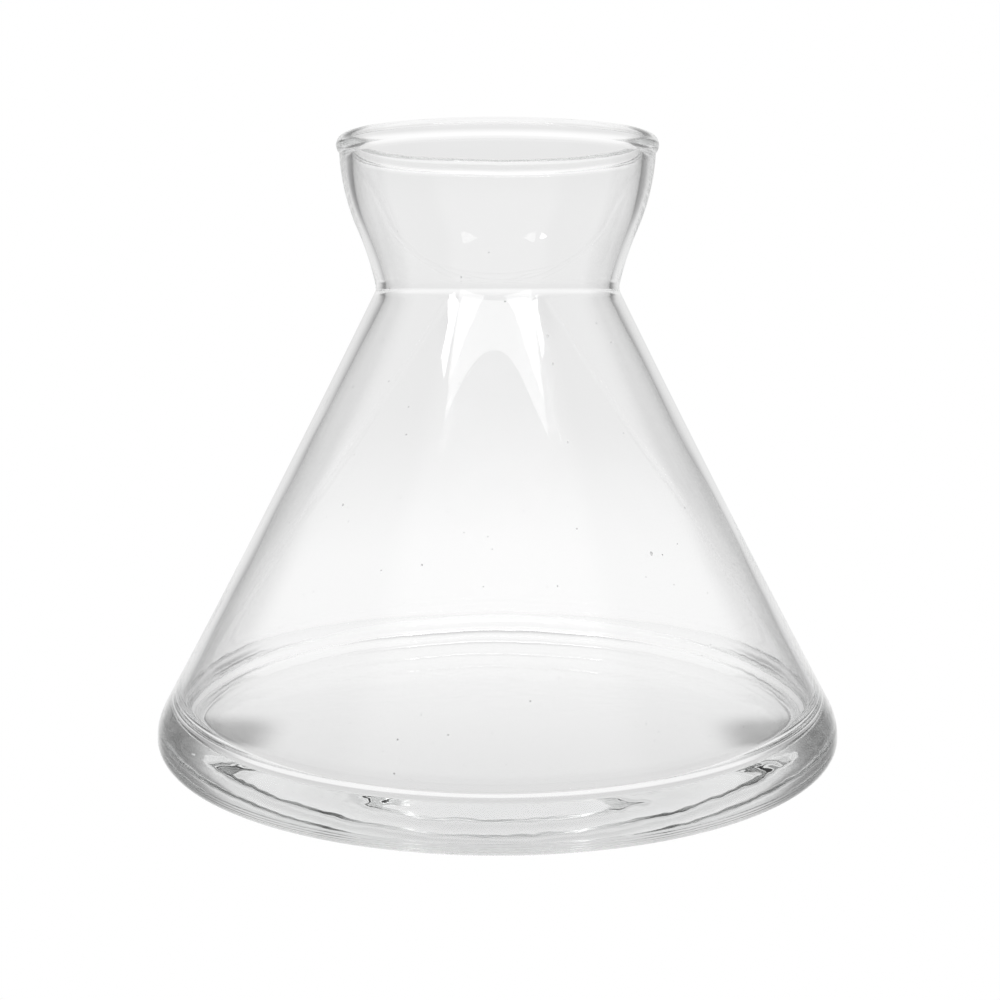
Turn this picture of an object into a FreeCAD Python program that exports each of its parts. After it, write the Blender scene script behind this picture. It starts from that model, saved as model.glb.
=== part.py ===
"""A one-piece conical glass vessel: a wide cone on a heavy heel, a narrow waist and a flared collar.

The vessel is a body of revolution about Z, in millimetres, and stands on the plane Z = 0 with its
axis at the origin. It is blown in a mould as a single wall of glass, so the document has one body:

    outside_form    the outside, revolved from the heel to the rim
    blown_hollow    the hollow inside, cut down to a slightly dished floor, with more glass left
                    in the heel
    rim_polish      the inner edge of the rim, melted round
    parting_ridge   the fine raised line round the waist where the two moulds met
"""

import FreeCAD, Part
import math
import os
import Sketcher

FULL_TURN = 360.0
START, END, CENTRE = 1, 2, 3
ORIGIN = (-1, 1)
OVER_RIM = 3.0

# Every driving dimension: alias, value in millimetres, what it is.
DIMENSIONS = [
    ("overall_height", 122.0, "standing plane to the top of the rim"),
    ("heel_max_radius", 69.9, "widest radius, low on the heel"),
    ("heel_corner_radius", 3.3, "round from the standing plane up to the widest point"),
    ("heel_shoulder_radius", 9.8, "round from the widest point up into the cone"),
    ("cone_bow_radius", 2700.0, "the cone's side is very slightly hollow"),
    ("waist_radius", 24.5, "narrowest outside radius"),
    ("waist_height", 92.3, "height of the narrowest outside radius"),
    ("waist_round", 1.5, "outside round between the cone and the collar"),
    ("collar_flare_radius", 60.0, "lower half of the collar, curving outwards"),
    ("collar_bowl_radius", 42.0, "upper half of the collar, curving back upright"),
    ("collar_turn_height", 103.8, "where the flare turns into the bowl"),
    ("lip_foot_height", 118.6, "height where the lip's bead starts"),
    ("lip_radius", 32.0, "widest radius of the lip's bead"),
    ("lip_bead_radius", 2.0, "round of the bead's outside, up to the top of the rim"),
    ("lip_inner_polish", 1.0, "round of the rim's inner edge"),
    ("throat_radius", 22.6, "inside radius of the waist's short straight land"),
    ("throat_foot_height", 91.2, "lower end of the land"),
    ("throat_land", 1.8, "length of the land"),
    ("throat_upper_round", 3.0, "inside round from the land up into the collar"),
    ("throat_lower_round", 3.0, "inside round from the land down into the cone"),
    ("mouth_turn_radius", 26.3, "inside radius where the collar's flare turns into its bowl"),
    ("mouth_turn_height", 104.6, "height of that turn on the inside"),
    ("mouth_radius", 28.9, "inside radius at the foot of the lip"),
    ("mouth_bowl_radius", 37.0, "inside round of the collar's upper half"),
    ("hollow_corner_radius", 4.5, "inside round between the cone and the floor"),
    ("hollow_max_radius", 64.25, "widest radius that the inside corner reaches"),
    ("floor_edge_height", 5.9, "height of the floor where the corner starts"),
    ("floor_dish", 1.1, "how much lower the floor is at the axis"),
    ("ridge_height", 0.12, "how far the parting ridge stands proud"),
    ("ridge_width", 0.8, "width of the parting ridge at its foot"),
]


def make_sheet(doc):
    """Writes the driving dimensions to a spreadsheet, one row each, and returns it."""
    sheet = doc.addObject("Spreadsheet::Sheet", "dimensions")
    for row, (alias, value, meaning) in enumerate(DIMENSIONS, start=1):
        sheet.set(f"A{row}", alias)
        sheet.set(f"B{row}", str(value))
        sheet.set(f"C{row}", meaning)
        sheet.setAlias(f"B{row}", alias)
    doc.recompute()
    return sheet


class Outline:
    """A chain of lines and arcs in a sketch on the XZ plane: X is the radius and Y the height.

    Each piece starts where the last one ended. A first guess of each point comes with the piece,
    and the sketch's constraints, bound to the spreadsheet, then hold the real shape.
    """

    def __init__(self, body, name):
        self.sketch = body.newObject("Sketcher::SketchObject", name)
        plane = next(f for f in body.Origin.OriginFeatures if f.Role == "XZ_Plane")
        self.sketch.AttachmentSupport = [(plane, "")]
        self.sketch.MapMode = "FlatFace"
        self.first = None
        self.last = None

    def rule(self, *values):
        return self.sketch.addConstraint(Sketcher.Constraint(*values))

    def bound(self, name, expression, *values):
        """A dimension that follows an expression of the sheet's cells."""
        index = self.rule(*values)
        self.sketch.renameConstraint(index, name)
        self.sketch.setExpression(f"Constraints.{name}", expression)

    def _join(self, piece, starts, ends, smooth):
        if self.last is None:
            self.first = (piece, starts)
        else:
            self.rule("Tangent" if smooth else "Coincident", *self.last, piece, starts)
        self.last = (piece, ends)
        return piece

    def line(self, a, b, smooth=False):
        vectors = [FreeCAD.Vector(x, y, 0) for x, y in (a, b)]
        piece = self.sketch.addGeometry(Part.LineSegment(*vectors), False)
        return self._join(piece, START, END, smooth)

    def arc(self, centre, radius, a, b, smooth=True):
        """An arc from angle a to angle b, in degrees: anticlockwise if b is larger."""
        circle = Part.Circle(FreeCAD.Vector(*centre, 0), FreeCAD.Vector(0, 0, 1), radius)
        low, high = sorted((math.radians(a), math.radians(b)))
        piece = self.sketch.addGeometry(Part.ArcOfCircle(circle, low, high), False)
        starts, ends = (START, END) if b > a else (END, START)
        return self._join(piece, starts, ends, smooth)

    def close(self):
        self.rule("Coincident", *self.last, *self.first)


def on_circle(centre, radius, angle):
    """The point at that angle, in degrees, on a circle."""
    turn = math.radians(angle)
    return centre[0] + radius * math.cos(turn), centre[1] + radius * math.sin(turn)


def cross_slope(low_centre, low_radius, high_centre, high_radius):
    """The lean from upright, in degrees, of the line that touches the low circle on its outer
    side and the high circle on its inner side, as the cone's wall does."""
    across, up = low_centre[0] - high_centre[0], high_centre[1] - low_centre[1]
    apart = math.hypot(across, up)
    return math.degrees(math.atan2(across, up) + math.asin((low_radius + high_radius) / apart))


def outside_form(body, size):
    """The outside: heel, cone, waist, collar and the lip's bead, revolved as a solid."""
    outline = Outline(body, "outside_profile")
    corner, shoulder, waist = size.heel_corner_radius, size.heel_shoulder_radius, size.waist_round
    corner_at = (size.heel_max_radius - corner, corner)
    shoulder_at = (size.heel_max_radius - shoulder, corner)
    waist_at = (size.waist_radius + waist, size.waist_height)
    lean = cross_slope(shoulder_at, shoulder, waist_at, waist)

    foot = outline.line((0, 0), (corner_at[0], 0))
    heel = outline.arc(corner_at, corner, -90, 0)
    rise = outline.arc(shoulder_at, shoulder, 0, lean)
    # The bow's centre lies far outside, square to the middle of the cone's side.
    low = on_circle(shoulder_at, shoulder, lean)
    high = on_circle(waist_at, waist, 180 + lean)
    middle = ((low[0] + high[0]) / 2, (low[1] + high[1]) / 2)
    half = math.degrees(math.hypot(low[0] - high[0], low[1] - high[1]) / size.cone_bow_radius) / 2
    bow_at = on_circle(middle, size.cone_bow_radius, lean)
    cone = outline.arc(bow_at, size.cone_bow_radius, 180 + lean + half, 180 + lean - half)

    # The slopes of the collar at its foot, its turn and its top, as a first guess.
    foot_slope, turn_slope, top_slope = 11.5, 23.5, 5.5
    neck = outline.arc(waist_at, waist, 180 + lean, 180 - foot_slope)
    start = on_circle(waist_at, waist, 180 - foot_slope)
    flare_at = on_circle(start, size.collar_flare_radius, -foot_slope)
    flare = outline.arc(flare_at, size.collar_flare_radius, 180 - foot_slope, 180 - turn_slope)
    turn = on_circle(flare_at, size.collar_flare_radius, 180 - turn_slope)
    bowl_at = on_circle(turn, size.collar_bowl_radius, 180 - turn_slope)
    bowl = outline.arc(bowl_at, size.collar_bowl_radius, -turn_slope, -top_slope)

    round_off = size.lip_bead_radius
    bead_at = (size.lip_radius - round_off, size.overall_height - round_off)
    bead_foot = math.degrees(math.asin((size.lip_foot_height - bead_at[1]) / round_off))
    bead = outline.arc(bead_at, round_off, bead_foot, 90, smooth=False)
    cover = outline.line((bead_at[0], size.overall_height), (0, size.overall_height), smooth=True)
    axis = outline.line((0, size.overall_height), (0, 0))
    outline.close()

    outline.rule("Coincident", foot, START, *ORIGIN)
    outline.rule("Horizontal", foot)
    outline.rule("Horizontal", cover)
    outline.rule("Vertical", axis)
    outline.rule("Horizontal", heel, CENTRE, rise, CENTRE)
    outline.bound("corner", "dimensions.heel_corner_radius", "Radius", heel, corner)
    outline.bound("shoulder", "dimensions.heel_shoulder_radius", "Radius", rise, shoulder)
    outline.bound("widest", "dimensions.heel_max_radius",
                  "DistanceX", *ORIGIN, heel, END, size.heel_max_radius)
    outline.bound("bow", "dimensions.cone_bow_radius", "Radius", cone, size.cone_bow_radius)
    outline.bound("waist", "dimensions.waist_round", "Radius", neck, waist)
    outline.bound("waist_x", "dimensions.waist_radius + dimensions.waist_round",
                  "DistanceX", *ORIGIN, neck, CENTRE, waist_at[0])
    outline.bound("waist_y", "dimensions.waist_height",
                  "DistanceY", *ORIGIN, neck, CENTRE, waist_at[1])
    outline.bound("flare", "dimensions.collar_flare_radius",
                  "Radius", flare, size.collar_flare_radius)
    outline.bound("bowl", "dimensions.collar_bowl_radius",
                  "Radius", bowl, size.collar_bowl_radius)
    outline.bound("turn_y", "dimensions.collar_turn_height",
                  "DistanceY", *ORIGIN, bowl, START, size.collar_turn_height)
    outline.bound("lip_foot_y", "dimensions.lip_foot_height",
                  "DistanceY", *ORIGIN, bead, START, size.lip_foot_height)
    outline.bound("bead", "dimensions.lip_bead_radius", "Radius", bead, round_off)
    outline.bound("bead_x", "dimensions.lip_radius - dimensions.lip_bead_radius",
                  "DistanceX", *ORIGIN, bead, CENTRE, bead_at[0])
    outline.bound("rim_y", "dimensions.overall_height",
                  "DistanceY", *ORIGIN, axis, START, size.overall_height)
    return revolved(body, "PartDesign::Revolution", "outside_form", outline.sketch)


def blown_hollow(body, size):
    """The hollow: mouth, throat land, cone, round corner and dished floor, cut as a groove."""
    outline = Outline(body, "hollow_profile")
    upper, lower = size.throat_upper_round, size.throat_lower_round
    corner = size.hollow_corner_radius
    land_top = size.throat_foot_height + size.throat_land
    upper_at = (size.throat_radius + upper, land_top)
    lower_at = (size.throat_radius + lower, size.throat_foot_height)
    corner_at = (size.hollow_max_radius - corner, size.floor_edge_height + corner)
    lean = cross_slope(corner_at, corner, lower_at, lower)
    ceiling = size.overall_height + OVER_RIM

    # The floor is a shallow dish: an arc that meets the corner smoothly and is level at the axis.
    floor_middle = size.floor_edge_height - size.floor_dish
    dish_radius = ((corner_at[0] ** 2 + (corner_at[1] - floor_middle) ** 2 - corner ** 2)
                   / (2 * size.floor_dish))
    dish_at = (0, floor_middle + dish_radius)
    dish_half = math.degrees(math.asin(corner_at[0] / (dish_radius - corner)))
    floor = outline.arc(dish_at, dish_radius, -90, -90 + dish_half)
    heel = outline.arc(corner_at, corner, -90 + dish_half, lean)
    cone = outline.line(on_circle(corner_at, corner, lean),
                        on_circle(lower_at, lower, 180 + lean), smooth=True)
    throat_foot = outline.arc(lower_at, lower, 180 + lean, 180)
    land = outline.line((size.throat_radius, lower_at[1]), (size.throat_radius, land_top),
                        smooth=True)

    foot_slope, turn_slope, rim_slope = 13.8, 22.8, 3.0
    throat_top = outline.arc(upper_at, upper, 180, 180 - foot_slope)
    start = on_circle(upper_at, upper, 180 - foot_slope)
    turn = (size.mouth_turn_radius, size.mouth_turn_height)
    reach = math.hypot(turn[0] - start[0], turn[1] - start[1])
    flare_radius = reach / 2 / math.sin(math.radians(turn_slope - foot_slope) / 2)
    flare_at = on_circle(start, flare_radius, -foot_slope)
    flare = outline.arc(flare_at, flare_radius, 180 - foot_slope, 180 - turn_slope)
    bowl_at = on_circle(turn, size.mouth_bowl_radius, 180 - turn_slope)
    bowl = outline.arc(bowl_at, size.mouth_bowl_radius, -turn_slope, -rim_slope)
    mouth = on_circle(bowl_at, size.mouth_bowl_radius, -rim_slope)
    over = outline.line(mouth, (0, ceiling))
    axis = outline.line((0, ceiling), (0, floor_middle))
    outline.close()

    outline.rule("Horizontal", over)
    outline.rule("PointOnObject", axis, START, -2)
    outline.rule("PointOnObject", axis, END, -2)
    outline.rule("PointOnObject", floor, CENTRE, -2)
    outline.rule("Vertical", land)
    outline.bound("corner", "dimensions.hollow_corner_radius", "Radius", heel, corner)
    outline.bound("corner_x", "dimensions.hollow_max_radius - dimensions.hollow_corner_radius",
                  "DistanceX", *ORIGIN, heel, CENTRE, corner_at[0])
    outline.bound("corner_y", "dimensions.floor_edge_height + dimensions.hollow_corner_radius",
                  "DistanceY", *ORIGIN, heel, CENTRE, corner_at[1])
    outline.bound("floor_y", "dimensions.floor_edge_height - dimensions.floor_dish",
                  "DistanceY", *ORIGIN, axis, END, floor_middle)
    outline.bound("throat_foot", "dimensions.throat_lower_round", "Radius", throat_foot, lower)
    outline.bound("throat_top", "dimensions.throat_upper_round", "Radius", throat_top, upper)
    outline.bound("land_x", "dimensions.throat_radius",
                  "DistanceX", *ORIGIN, land, START, size.throat_radius)
    outline.bound("land_y", "dimensions.throat_foot_height",
                  "DistanceY", *ORIGIN, land, START, size.throat_foot_height)
    outline.bound("land", "dimensions.throat_land", "DistanceY", land, START, land, END,
                  size.throat_land)
    outline.bound("turn_x", "dimensions.mouth_turn_radius",
                  "DistanceX", *ORIGIN, bowl, START, turn[0])
    outline.bound("turn_y", "dimensions.mouth_turn_height",
                  "DistanceY", *ORIGIN, bowl, START, turn[1])
    outline.bound("bowl", "dimensions.mouth_bowl_radius", "Radius", bowl, size.mouth_bowl_radius)
    outline.bound("ceiling", f"dimensions.overall_height + {OVER_RIM}",
                  "DistanceY", *ORIGIN, axis, START, ceiling)
    # The bowl has to pass the foot of the lip at the mouth's radius.
    gauge = outline.sketch.addGeometry(
        Part.Point(FreeCAD.Vector(size.mouth_radius, size.lip_foot_height, 0)), True)
    outline.rule("PointOnObject", gauge, START, bowl)
    outline.bound("mouth_x", "dimensions.mouth_radius",
                  "DistanceX", *ORIGIN, gauge, START, size.mouth_radius)
    outline.bound("mouth_y", "dimensions.lip_foot_height",
                  "DistanceY", *ORIGIN, gauge, START, size.lip_foot_height)
    return revolved(body, "PartDesign::Groove", "blown_hollow", outline.sketch)


def parting_ridge(body, size):
    """The fine raised line left where the neck mould met the body mould, at the waist."""
    outline = Outline(body, "ridge_profile")
    depth = 0.5
    inner, outer = size.waist_radius - depth, size.waist_radius + size.ridge_height
    low = size.waist_height - size.ridge_width / 2
    high = size.waist_height + size.ridge_width / 2
    foot = outline.line((inner, low), (inner, high))
    top = outline.line((inner, high), (outer, size.waist_height))
    under = outline.line((outer, size.waist_height), (inner, low))
    outline.close()

    outline.rule("Vertical", foot)
    outline.rule("Equal", top, under)
    outline.bound("width", "dimensions.ridge_width * 2", "DistanceY", foot, START, foot, END,
                  2 * size.ridge_width)
    outline.bound("tip_x", "dimensions.waist_radius + dimensions.ridge_height",
                  "DistanceX", *ORIGIN, under, START, outer)
    outline.bound("tip_y", "dimensions.waist_height",
                  "DistanceY", *ORIGIN, under, START, size.waist_height)
    outline.bound("root_x", f"dimensions.waist_radius - {depth}",
                  "DistanceX", *ORIGIN, foot, START, inner)
    return revolved(body, "PartDesign::Revolution", "parting_ridge", outline.sketch)


def revolved(body, kind, name, sketch):
    """A full turn of a sketch about its vertical axis, added to the body or cut from it."""
    body.Document.recompute()
    before = body.Tip.Shape.Volume if body.Tip and hasattr(body.Tip, "Shape") else 0.0
    feature = body.newObject(kind, name)
    feature.Profile = sketch
    feature.ReferenceAxis = (sketch, ["V_Axis"])
    feature.Angle = FULL_TURN
    body.Document.recompute()
    change = feature.Shape.Volume - before
    if (change < 0) != (kind == "PartDesign::Groove"):
        raise RuntimeError(f"{name} changed the volume the wrong way, by {change:.1f} mm3")
    print(f"{name}: open constraints {sketch.solve()}, volume change {change:.1f} mm3")
    return feature


def polish(body, name, base, edges, alias):
    """Rounds the named edges, as the flame leaves them."""
    feature = body.newObject("PartDesign::Fillet", name)
    feature.Base = (base, edges)
    feature.setExpression("Radius", f"dimensions.{alias}")
    body.Document.recompute()
    return feature


def rings(shape):
    """The shape's closed edges, all rings about the axis, as (edge name, radius, height)."""
    found = []
    for index, edge in enumerate(shape.Edges, start=1):
        # The single point where the dished floor meets the axis counts as an edge too.
        if edge.isClosed() and not edge.Degenerated:
            seam = edge.Vertexes[0].Point
            found.append((f"Edge{index}", math.hypot(seam.x, seam.y), seam.z))
    return found


def ring_edge(shape, radius, height, slack=0.5):
    """The name of the ring nearest to that radius and height."""
    def miss(ring):
        return math.hypot(ring[1] - radius, ring[2] - height)

    nearest = min(rings(shape), key=miss)
    if miss(nearest) > slack:
        raise RuntimeError(f"no ring of radius {radius:.2f} at height {height:.2f}")
    return nearest[0]


def make_vessel(doc, size):
    """The vessel's body, with its features in the order that they are made."""
    body = doc.addObject("PartDesign::Body", "glass_vessel")
    body.Label = "glass_vessel"
    outside_form(body, size)
    blown = blown_hollow(body, size)
    polish(body, "rim_polish", blown,
           [ring_edge(blown.Shape, size.mouth_radius, size.overall_height)], "lip_inner_polish")
    parting_ridge(body, size)
    return body


def check(doc, bodies):
    """Stops if any object of the document failed or any piece isn't a sound solid."""
    for thing in doc.Objects:
        if {"Invalid", "Error"} & set(thing.State):
            raise RuntimeError(f"{thing.Name} failed: {thing.State}")
    for body in bodies:
        shape = body.Shape
        if shape.isNull() or not shape.isValid() or not shape.Solids:
            raise RuntimeError(f"{body.Label} isn't a sound solid")
        box = shape.optimalBoundingBox()
        print(f"{body.Label}: {len(shape.Solids)} solid, {len(shape.Faces)} faces, "
              f"{shape.Volume / 1000:.2f} cm3, box {box.XLength:.2f} x {box.YLength:.2f} x "
              f"{box.ZLength:.2f} from Z {box.ZMin:.3f}")


def main():
    doc = FreeCAD.newDocument("conical_glass_vessel")
    size = make_sheet(doc)
    bodies = [make_vessel(doc, size)]
    doc.recompute()
    check(doc, bodies)
    os.makedirs("parts", exist_ok=True)
    for body in bodies:
        body.Shape.exportStep(f"parts/{body.Label}.step")


main()
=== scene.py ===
"""Looks of a one-piece conical glass vessel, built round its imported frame. Metres, +Z up.

The vessel is one wall of mould-blown soda-lime glass: a wide cone on a heavy heel, a pinched
waist and a flared collar with a fire-polished rim. The file is laid out as an add-on with one
tool for the glass and one for the studio, and is run as a script.
"""

import math
import random

import bpy
from bpy.props import FloatProperty, FloatVectorProperty, IntProperty, PointerProperty
from bpy.types import Operator, Panel, PropertyGroup
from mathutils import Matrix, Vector


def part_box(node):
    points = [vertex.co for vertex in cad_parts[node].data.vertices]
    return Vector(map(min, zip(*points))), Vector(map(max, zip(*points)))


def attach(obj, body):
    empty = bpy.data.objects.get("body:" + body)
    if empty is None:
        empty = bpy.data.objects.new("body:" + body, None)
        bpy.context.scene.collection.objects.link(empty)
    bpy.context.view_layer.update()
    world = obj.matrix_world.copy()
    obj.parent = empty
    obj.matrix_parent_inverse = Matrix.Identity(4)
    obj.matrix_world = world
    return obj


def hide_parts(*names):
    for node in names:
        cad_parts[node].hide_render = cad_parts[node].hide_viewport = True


bl_info = {
    "name": "Conical Glass Vessel",
    "version": (1, 0, 0),
    "blender": (4, 5, 0),
    "location": "View3D > Sidebar > Glass Vessel",
    "description": "Builds a mould-blown conical glass vessel and a plain studio round it",
    "category": "Object",
}

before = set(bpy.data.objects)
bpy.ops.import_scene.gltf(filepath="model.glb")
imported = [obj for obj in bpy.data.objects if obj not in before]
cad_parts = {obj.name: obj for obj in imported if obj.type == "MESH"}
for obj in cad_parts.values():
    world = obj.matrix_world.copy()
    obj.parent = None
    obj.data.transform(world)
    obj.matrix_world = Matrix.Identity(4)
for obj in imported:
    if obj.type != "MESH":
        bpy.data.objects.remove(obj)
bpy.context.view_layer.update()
LOW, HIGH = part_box("glass_vessel")
HEIGHT = HIGH.z - LOW.z
MM = 0.001

# The wall's outline, as (radius, height, bend), in millimetres. The bend is the radius of the arc
# that arrives at the corner: positive when its centre is on the right of the way travelled.
OUTSIDE = [
    (66.6, 0.0, 0),
    (69.9, 3.3, -3.3),
    (68.6899, 8.0174, -9.8),
    (24.6608, 91.6244, 2700),
    (24.539, 91.96, 1.5),
    (24.62, 92.3, 0),
    (24.545, 92.64, 0),
    (28.0743, 103.8, 60),
    (31.4283, 118.6, -42.0),
    (30.0, 122.0, -2.0),
]
INSIDE = [
    (30.0, 122.0, 0),
    (29.8, 122.0, 0),
    (28.82, 120.9, -1.0),
    (26.3, 104.6, 37),
    (22.7045, 93.7847, -101.3),
    (22.6, 93.0, -3.0),
    (22.6, 91.2, 0),
    (22.9466, 89.8001, -3.0),
    (63.73, 12.4999, 0),
    (59.9156, 5.903, 4.5),
    (0.0, 4.8, 1627.8),
]
UNDER = [
    (66.6, 0.0, 0),
    (0.0, 0.0, 0),
]
# The straight run of the cone, foot to top, on the outside and on the inside.
CONE = ((OUTSIDE[2], OUTSIDE[3]), (INSIDE[8], INSIDE[7]))
# The radius of the flat that the vessel stands on, in metres.
BASE_FLAT = UNDER[0][0] * MM


def clean_slate():
    """Leaves edit mode and deselects everything."""
    if bpy.context.object and bpy.context.object.mode != "OBJECT":
        bpy.ops.object.mode_set(mode="OBJECT")
    bpy.ops.object.select_all(action="DESELECT")


def arc_points(a, b, bend, step):
    """Points from a, left out, to b, kept, along a run or an arc, no further apart than step."""
    (ax, ay), (bx, by) = a, b
    half = math.hypot(bx - ax, by - ay) / 2
    if not bend:
        count = math.ceil(2 * half / step)
        return [(ax + (bx - ax) * i / count, ay + (by - ay) * i / count)
                for i in range(1, count + 1)]
    radius = max(abs(bend), half)
    side = math.copysign(1, bend)
    rise = math.sqrt(radius * radius - half * half)
    ux, uy = (bx - ax) / (2 * half), (by - ay) / (2 * half)
    cx = (ax + bx) / 2 + side * rise * uy
    cy = (ay + by) / 2 - side * rise * ux
    sweep = 2 * math.asin(half / radius)
    count = max(2, math.ceil(sweep * radius / step), math.ceil(sweep / math.radians(7)))
    start = math.atan2(ay - cy, ax - cx)
    turn = -side * sweep / count
    return [(cx + radius * math.cos(start + turn * i), cy + radius * math.sin(start + turn * i))
            for i in range(1, count + 1)]


def outline(corners, step):
    """The points along a list of (radius, height, bend), no further apart than step."""
    points = [corners[0][:2]]
    for x, y, bend in corners[1:]:
        points += arc_points(points[-1], (x, y), bend, step)
    return points


def spin_profile(name, points, segments):
    """Extrudes one vertex along a profile in the XZ plane, and spins it about Z."""
    clean_slate()
    bpy.ops.mesh.primitive_plane_add(size=0.001, location=(0, 0, 0))
    obj = bpy.context.object
    obj.name = name
    obj.data.name = name
    bpy.ops.object.mode_set(mode="EDIT")
    bpy.ops.mesh.select_all(action="SELECT")
    bpy.ops.mesh.merge(type="CENTER")
    bpy.ops.transform.translate(value=(points[0][0] * MM, 0, points[0][1] * MM))
    for (ax, ay), (bx, by) in zip(points, points[1:]):
        move = ((bx - ax) * MM, 0, (by - ay) * MM)
        bpy.ops.mesh.extrude_region_move(TRANSFORM_OT_translate={"value": move})
    bpy.ops.mesh.select_all(action="SELECT")
    bpy.ops.mesh.spin(steps=segments, angle=math.tau, center=(0, 0, 0), axis=(0, 0, 1))
    bpy.ops.mesh.select_all(action="SELECT")
    bpy.ops.mesh.remove_doubles(threshold=0.00001)
    bpy.ops.object.mode_set(mode="OBJECT")
    return obj


def uneven(obj, low, high, blend, waves):
    """Moves the wall between two heights by a fraction of a millimetre, as blown glass varies.

    Each wave is (name, width, height, depth) in millimetres: the size of its swells round the
    wall, how far they run up it, and how deep they are.
    """
    clean_slate()
    bpy.context.view_layer.objects.active = obj
    obj.select_set(True)
    group = obj.vertex_groups.new(name="blown")
    for vertex in obj.data.vertices:
        z = vertex.co.z / MM
        weight = min((z - low) / blend, (high - z) / blend, 1.0)
        if weight > 0:
            group.add([vertex.index], weight, "REPLACE")
    for name, width, tall, depth in waves:
        texture = bpy.data.textures.new(name, "CLOUDS")
        texture.noise_scale = 1.0
        texture.noise_depth = 1
        grid = bpy.data.objects.new(f"{name}_grid", None)
        bpy.context.scene.collection.objects.link(grid)
        grid.scale = (width * MM, width * MM, tall * MM)
        bpy.context.view_layer.update()
        swell = obj.modifiers.new(name, "DISPLACE")
        swell.texture = texture
        swell.texture_coords = "OBJECT"
        swell.texture_coords_object = grid
        swell.vertex_group = group.name
        swell.mid_level = 0.5
        swell.strength = depth * MM
        bpy.ops.object.modifier_apply(modifier=swell.name)
        bpy.data.objects.remove(grid)
        bpy.data.textures.remove(texture)
    obj.vertex_groups.clear()


def linear(hex_colour):
    """An sRGB hex colour as linear RGBA."""
    parts = [int(hex_colour[i:i + 2], 16) / 255 for i in (1, 3, 5)]
    return [*(c / 12.92 if c <= 0.04045 else ((c + 0.055) / 1.055) ** 2.4 for c in parts), 1.0]


def add_node(tree, kind, inputs=None, links=None, **settings):
    """Adds a node with its settings, its sockets' values and the links that arrive at it."""
    node = tree.nodes.new(kind)
    for key, value in settings.items():
        setattr(node, key, value)
    for key, value in (inputs or {}).items():
        node.inputs[key].default_value = value
    for key, socket in (links or {}).items():
        tree.links.new(socket, node.inputs[key])
    return node


def soft_steps(tree, steps):
    """Multiplies soft steps together. Each is (socket, start, end, low, high).

    A step is low where the socket is at start, and eases to high where it is at end.
    """
    product = None
    for socket, start, end, low, high in steps:
        step = add_node(tree, "ShaderNodeMapRange",
                        {"From Min": start, "From Max": end, "To Min": low, "To Max": high},
                        {"Value": socket}, interpolation_type="SMOOTHSTEP").outputs[0]
        if product is not None:
            step = add_node(tree, "ShaderNodeMath", links={0: product, 1: step},
                            operation="MULTIPLY").outputs[0]
        product = step
    return product


def blown_glass(look):
    """Soda-lime glass, blown in a two-part mould and fire-polished at the rim.

    It gives the eye a clear wall with bright and dark edges, faint upright swells where the
    gather stretched, a very slight grey tone where the glass is deep, and a few specks.
    """
    material = bpy.data.materials.new("soda_lime_glass_mould_blown")
    material.use_nodes = True
    tree = material.node_tree
    tree.nodes.clear()
    place = add_node(tree, "ShaderNodeTexCoord").outputs["Object"]
    # Chill marks: the mould's cool face leaves soft swells about 9 mm wide that run up the wall.
    upright = add_node(tree, "ShaderNodeMapping", {"Scale": (1 / 0.009, 1 / 0.009, 1 / 0.09)},
                       {"Vector": place})
    swells = add_node(tree, "ShaderNodeTexNoise", {"Scale": 1.0, "Detail": 2.0},
                      {"Vector": upright.outputs[0]})
    chill = add_node(tree, "ShaderNodeBump", {"Strength": look.chill_depth, "Distance": 0.0002},
                     {"Height": swells.outputs[0]})
    # Grit: specks about 0.3 mm across, one or two in each square centimetre.
    grit = add_node(tree, "ShaderNodeTexVoronoi", {"Scale": 1 / 0.0075, "Randomness": 1.0},
                    {"Vector": place}, feature="F1")
    speck = add_node(tree, "ShaderNodeValToRGB", links={"Fac": grit.outputs["Distance"]})
    speck.color_ramp.elements[0].position = 0.018
    speck.color_ramp.elements[0].color = linear("#8a8a8a")
    speck.color_ramp.elements[1].position = 0.03
    speck.color_ramp.elements[1].color = linear("#ffffff")
    glass = add_node(tree, "ShaderNodeBsdfPrincipled",
                     {"Roughness": 0.0, "IOR": 1.52, "Transmission Weight": 1.0},
                     {"Normal": chill.outputs[0], "Base Color": speck.outputs["Color"]})
    tone = add_node(tree, "ShaderNodeVolumeAbsorption",
                    {"Color": (*look.deep_tone, 1.0), "Density": look.tone_density})
    add_node(tree, "ShaderNodeOutputMaterial",
             links={"Surface": glass.outputs["BSDF"], "Volume": tone.outputs["Volume"]})
    return material


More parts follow.
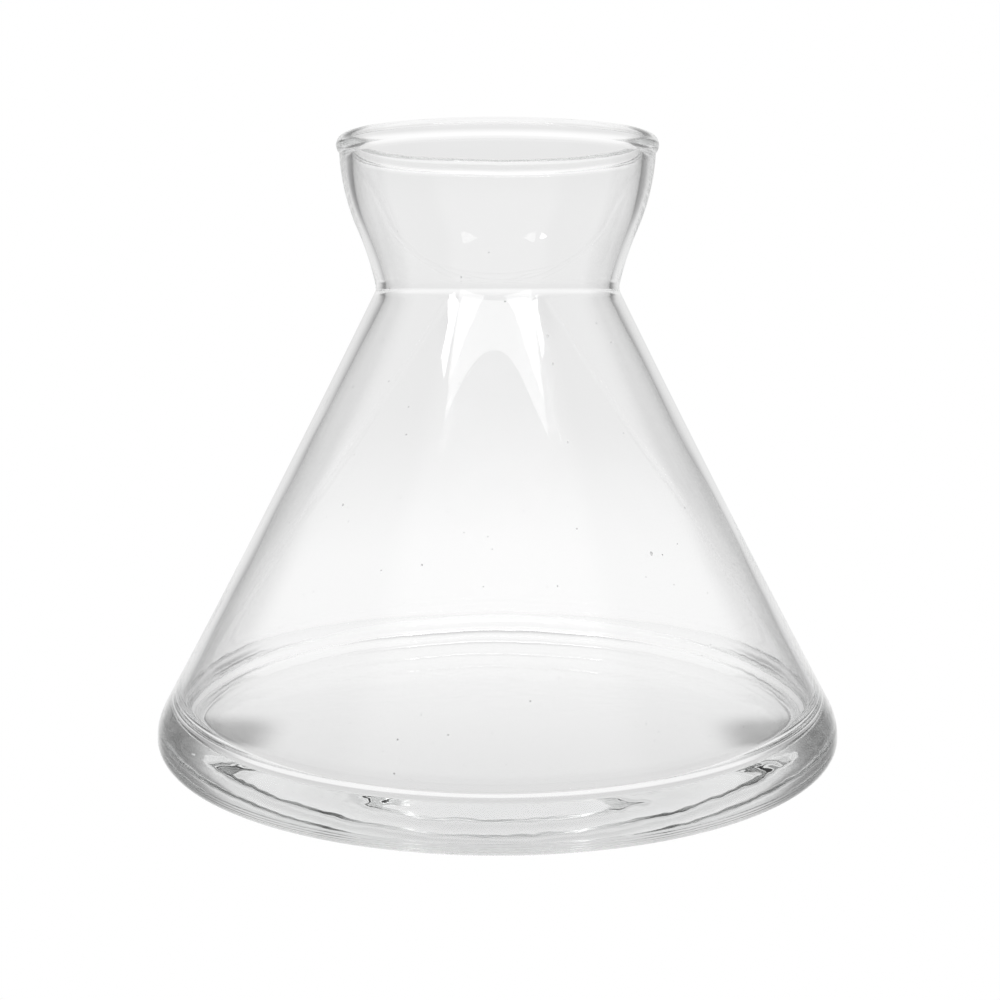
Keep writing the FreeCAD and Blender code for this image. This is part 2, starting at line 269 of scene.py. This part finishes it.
def add_seeds(wall, count):
    """Seeds: pinhead bubbles left in the glass, as small hollows inside the wall."""
    dice = random.Random(11)
    seeds = []
    for _ in range(count):
        height = dice.uniform(18, 85)
        turn = dice.uniform(0, math.tau)
        faces = [foot[0] + (top[0] - foot[0]) * (height - foot[1]) / (top[1] - foot[1])
                 for foot, top in CONE]
        radius = sum(faces) / 2 + dice.uniform(-0.35, 0.35)
        clean_slate()
        bpy.ops.mesh.primitive_ico_sphere_add(
            subdivisions=2, radius=dice.uniform(0.12, 0.26) * MM,
            location=(radius * math.cos(turn) * MM, radius * math.sin(turn) * MM, height * MM))
        bubble = bpy.context.object
        bpy.ops.object.mode_set(mode="EDIT")
        bpy.ops.mesh.select_all(action="SELECT")
        # Gas bubbles are drawn out up the wall as the glass is blown.
        bpy.ops.transform.resize(value=(1.0, 1.0, dice.uniform(1.0, 1.9)),
                                 center_override=bubble.location)
        bpy.ops.mesh.flip_normals()
        bpy.ops.mesh.faces_shade_smooth()
        bpy.ops.object.mode_set(mode="OBJECT")
        seeds.append(bubble)
    clean_slate()
    for bubble in seeds:
        bubble.select_set(True)
    wall.select_set(True)
    bpy.context.view_layer.objects.active = wall
    bpy.ops.object.join()


class GlassLook(PropertyGroup):
    """Sizes and colours of the glass that a user would change."""
    segments: IntProperty(name="Segments", description="Steps round the wall", default=240,
                          min=48, max=360)
    profile_step: FloatProperty(name="Profile step", default=0.0011, unit="LENGTH",
                                description="Longest step along the wall's outline")
    inside_swell: FloatProperty(name="Inside swell", default=0.00012, unit="LENGTH", precision=5,
                                description="Depth of the uneven thickness inside the cone")
    chill_depth: FloatProperty(name="Chill marks", default=0.12, subtype="FACTOR", min=0, max=1,
                               description="Strength of the soft marks from the mould's face")
    seeds: IntProperty(name="Seeds", description="Number of pinhead bubbles", default=26)
    deep_tone: FloatVectorProperty(name="Deep tone", subtype="COLOR", min=0, max=1,
                                   default=linear("#8e9290")[:3],
                                   description="Colour of the glass where it is deep")
    tone_density: FloatProperty(name="Tone density", default=2.6,
                                description="How quickly the deep tone builds up, per metre")


class StudioLook(PropertyGroup):
    """Light and floor of the plain studio."""
    floor_colour: FloatVectorProperty(name="Floor", subtype="COLOR", min=0, max=1,
                                      default=(1.0, 1.0, 1.0), description="Colour of the table")
    wall_tone: FloatProperty(name="Back wall", default=0.81, min=0, max=2,
                             description="Brightness of the wall behind the table")
    table_tone: FloatProperty(name="Table", default=0.95, min=0, max=2,
                              description="Brightness of the table that the glass sees")
    corner_tone: FloatProperty(name="Corners", default=0.3, subtype="FACTOR", min=0, max=1,
                               description="How much of that the far corners of the room have")
    ceiling_lift: FloatProperty(name="Ceiling", default=1.25, min=0, max=4,
                                description="How much brighter the room is high up")
    key_tone: FloatProperty(name="Key light", default=1.35, min=0, max=4,
                            description="How much brighter the room is behind the camera")
    box_glow: FloatProperty(name="Soft box", default=2.2,
                            description="Radiance of the soft box over the camera")
    lamp_glow: FloatProperty(name="Side lamps", default=7.0,
                             description="Radiance of the two small lamps at the front")


class GLASS_OT_wall(Operator):
    """Blow the vessel's one wall of glass, with its uneven inside and its seeds"""
    bl_idname = "glass_vessel.wall"
    bl_label = "Glass wall"
    bl_options = {"REGISTER", "UNDO"}

    def execute(self, context):
        look = context.scene.glass_look
        step = look.profile_step / MM
        skin = spin_profile("skin_inside", outline(INSIDE, step), look.segments)
        swell = look.inside_swell / MM
        # The inside is uneven up the cone, and more finely round the collar.
        uneven(skin, 24, 89, 24, [("stretch", 14, 160, swell), ("settle", 26, 34, swell)])
        uneven(skin, 95, 117, 6, [("collar_stretch", 9, 60, swell * 0.6)])
        wall = spin_profile("glass_vessel_wall", outline(UNDER[::-1] + OUTSIDE[1:], step),
                            look.segments)
        clean_slate()
        skin.select_set(True)
        wall.select_set(True)
        context.view_layer.objects.active = wall
        bpy.ops.object.join()
        bpy.ops.object.mode_set(mode="EDIT")
        bpy.ops.mesh.select_all(action="SELECT")
        bpy.ops.mesh.remove_doubles(threshold=0.00001)
        bpy.ops.mesh.normals_make_consistent(inside=False)
        bpy.ops.mesh.faces_shade_smooth()
        bpy.ops.object.mode_set(mode="OBJECT")
        open_edges = sum(1 for e in wall.data.edges if e.is_loose)
        if open_edges:
            raise RuntimeError(f"{open_edges} loose edges in the wall")
        add_seeds(wall, look.seeds)
        wall.data.materials.clear()
        wall.data.materials.append(blown_glass(look))
        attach(wall, "root")
        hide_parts("glass_vessel")
        return {"FINISHED"}


def glow_material(name, colour):
    """A white table top, evenly lit: it glows at one brightness and takes no shadow."""
    material = bpy.data.materials.new(name)
    material.use_nodes = True
    tree = material.node_tree
    tree.nodes.clear()
    glow = add_node(tree, "ShaderNodeEmission", {"Color": colour, "Strength": 1.0})
    add_node(tree, "ShaderNodeOutputMaterial", links={"Surface": glow.outputs[0]})
    return material


def painted_table_shade():
    """Painted shade on the table under the base: greyer towards the front, a shadow wedge each
    side.
    """
    material = bpy.data.materials.new("painted_table_shade")
    material.use_nodes = True
    tree = material.node_tree
    tree.nodes.clear()
    place = add_node(tree, "ShaderNodeTexCoord").outputs["Object"]
    split = add_node(tree, "ShaderNodeSeparateXYZ", links={0: place})
    depth = split.outputs["Y"]
    side = add_node(tree, "ShaderNodeMath", links={0: split.outputs["X"]},
                    operation="ABSOLUTE").outputs[0]
    reach = add_node(tree, "ShaderNodeVectorMath", links={0: place},
                     operation="LENGTH").outputs["Value"]
    # Painted shadow: a dark wedge at each side of the base, where the heel would shade the table.
    shadow_wedge = soft_steps(tree, [(side, 0.039, 0.053, 0.0, 1.0),
                              (depth, -0.041, -0.025, 0.0, 1.0),
                              (depth, -0.017, 0.001, 1.0, 0.0)])
    # Painted shade: the disc glows greyer towards the front and darker in the shadow wedges.
    tone = soft_steps(tree, [(depth, 0.055, -0.050, 0.91, 0.68),
                             (shadow_wedge, 0.0, 1.0, 1.0, 0.2)])
    glow = add_node(tree, "ShaderNodeEmission", {"Color": (1, 1, 1, 1)}, {"Strength": tone})
    clear = add_node(tree, "ShaderNodeBsdfTransparent")
    # It fades out just inside the edge of the base's flat.
    fade = soft_steps(tree, [(reach, BASE_FLAT - 0.0021, BASE_FLAT - 0.0002, 0.0, 1.0)])
    both = add_node(tree, "ShaderNodeMixShader",
                    links={0: fade, 1: glow.outputs[0], 2: clear.outputs[0]})
    add_node(tree, "ShaderNodeOutputMaterial", links={"Surface": both.outputs[0]})
    return material


def studio_world(look):
    """A white room for the camera. The glass sees a bright front, a dimmer back and dark corners.

    Directions are read as tilt (-1 down, 1 up), ahead (-1 behind the camera, 1 at the back wall)
    and side (0 in the middle, 1 at either side).
    """
    world = bpy.data.worlds.new("studio")
    bpy.context.scene.world = world
    world.use_nodes = True
    tree = world.node_tree
    tree.nodes.clear()
    way = add_node(tree, "ShaderNodeTexCoord").outputs["Generated"]
    flat = add_node(tree, "ShaderNodeVectorMath", {1: (1, 1, 0)}, {0: way}, operation="MULTIPLY")
    level = add_node(tree, "ShaderNodeVectorMath", links={0: flat.outputs[0]},
                     operation="NORMALIZE")
    turn = add_node(tree, "ShaderNodeSeparateXYZ", links={0: level.outputs[0]})
    ahead = turn.outputs["Y"]
    side = add_node(tree, "ShaderNodeMath", links={0: turn.outputs["X"]},
                    operation="ABSOLUTE").outputs[0]
    tilt = add_node(tree, "ShaderNodeSeparateXYZ", links={0: way}).outputs["Z"]

    # The far corners, from the table up to above the rim, and less so below the horizon.
    corner = soft_steps(tree, [(side, 0.38, 0.7, 0.0, 1.0), (ahead, 0.2, 0.6, 0.0, 1.0),
                               (tilt, -0.75, -0.45, 0.0, 1.0), (tilt, -0.15, 0.0, 0.7, 1.0),
                               (tilt, 0.5, 0.7, 1.0, 0.0)])
    # The key light fills the room behind the camera, from the table's edge to well overhead.
    key = soft_steps(tree, [(ahead, -0.4, -0.8, 0.0, 1.0), (tilt, -0.05, 0.15, 0.0, 1.0),
                            (tilt, 0.8, 0.9, 1.0, 0.0)])
    # The back wall is darker than the table below it, the room lightens upwards, and straight
    # overhead is dark.
    tone = soft_steps(tree, [(tilt, -0.05, -0.20, look.wall_tone, look.table_tone),
                             (tilt, 0.15, 0.45, 1.0, look.ceiling_lift),
                             (tilt, 0.85, 0.95, 1.0, 0.5),
                             (corner, 0.0, 1.0, 1.0, look.corner_tone),
                             (key, 0.0, 1.0, 1.0, look.key_tone)])
    lit = add_node(tree, "ShaderNodeBackground", {"Color": (1, 1, 1, 1)}, {"Strength": tone})
    seen = add_node(tree, "ShaderNodeBackground", {"Color": (1, 1, 1, 1), "Strength": 1.0})
    path = add_node(tree, "ShaderNodeLightPath")
    both = add_node(tree, "ShaderNodeMixShader", links={
        0: path.outputs["Is Camera Ray"], 1: lit.outputs[0], 2: seen.outputs[0]})
    add_node(tree, "ShaderNodeOutputWorld", links={"Surface": both.outputs[0]})


class GLASS_OT_studio(Operator):
    """Lay the pale table and set the lamps, the room and the camera"""
    bl_idname = "glass_vessel.studio"
    bl_label = "Studio"
    bl_options = {"REGISTER", "UNDO"}

    def execute(self, context):
        look = context.scene.studio_look
        clean_slate()
        bpy.ops.mesh.primitive_circle_add(vertices=96, radius=6.0, fill_type="NGON",
                                          location=(0, 0, -0.0006))
        floor = context.object
        floor.name = "floor"
        floor.data.materials.append(glow_material("white_table", (*look.floor_colour, 1.0)))
        floor.visible_glossy = False
        floor.visible_transmission = False
        floor.visible_diffuse = False
        # A disc under the base that only the glass sees, glowing with painted shade and painted
        # shadow.
        bpy.ops.mesh.primitive_circle_add(vertices=96, radius=BASE_FLAT - 0.0001,
                                          fill_type="NGON", location=(0, 0, -0.0003))
        shade = context.object
        shade.name = "shade_under_vessel"
        shade.data.materials.append(painted_table_shade())
        shade.visible_camera = False
        shade.visible_diffuse = False
        studio_world(look)

        # A soft box high over the camera, with a small lamp under each end of it. Each is its
        # name, its turn and lift in degrees, its width and height in metres, and its radiance.
        lamps = (("soft_box", -92, 60.0, 1.25, 0.27, look.box_glow),
                 ("lamp_left", -142, 51.5, 0.10, 0.16, look.lamp_glow),
                 ("lamp_right", -43, 53.5, 0.08, 0.16, look.lamp_glow))
        away = 1.3
        for name, turn, lift, wide, tall, glow in lamps:
            data = bpy.data.lights.new(name, "AREA")
            data.shape = "RECTANGLE"
            data.size = wide
            data.size_y = tall
            data.energy = glow * math.pi * wide * tall
            lamp = bpy.data.objects.new(name, data)
            context.scene.collection.objects.link(lamp)
            turn, lift = math.radians(turn), math.radians(lift)
            lamp.location = (away * math.cos(turn) * math.cos(lift),
                             away * math.sin(turn) * math.cos(lift),
                             away * math.sin(lift) + HEIGHT / 2)
            aim = Vector((0, 0, HEIGHT / 2)) - lamp.location
            lamp.rotation_euler = aim.to_track_quat("-Z", "Y").to_euler()

        # The camera is close, just lower than the waist, and looks slightly down.
        data = bpy.data.cameras.new("camera")
        camera = bpy.data.objects.new("camera", data)
        context.scene.collection.objects.link(camera)
        data.lens = 48.99
        data.sensor_width = 36
        camera.location = (0.004 * HEIGHT, -2.2848 * HEIGHT, 0.7344 * HEIGHT)
        camera.rotation_euler = (math.radians(90) - 0.145, 0, 0)
        context.scene.camera = camera
        context.scene.view_settings.view_transform = "Standard"
        context.scene.cycles.max_bounces = 64
        context.scene.cycles.transmission_bounces = 64
        context.scene.cycles.glossy_bounces = 64
        return {"FINISHED"}


class GLASS_PT_panel(Panel):
    """Lists the vessel's tools in the sidebar"""
    bl_idname = "GLASS_PT_panel"
    bl_label = "Glass Vessel"
    bl_space_type = "VIEW_3D"
    bl_region_type = "UI"
    bl_category = "Glass Vessel"

    def draw(self, context):
        for look, tool in ((context.scene.glass_look, GLASS_OT_wall),
                           (context.scene.studio_look, GLASS_OT_studio)):
            column = self.layout.column()
            for name in look.__annotations__:
                column.prop(look, name)
            column.operator(tool.bl_idname)


CLASSES = (GlassLook, StudioLook, GLASS_OT_wall, GLASS_OT_studio, GLASS_PT_panel)


def register():
    for cls in CLASSES:
        bpy.utils.register_class(cls)
    bpy.types.Scene.glass_look = PointerProperty(type=GlassLook)
    bpy.types.Scene.studio_look = PointerProperty(type=StudioLook)


def unregister():
    del bpy.types.Scene.studio_look
    del bpy.types.Scene.glass_look
    for cls in reversed(CLASSES):
        bpy.utils.unregister_class(cls)


def main():
    register()
    bpy.ops.glass_vessel.wall()
    bpy.ops.glass_vessel.studio()


if __name__ == "__main__":
    main()
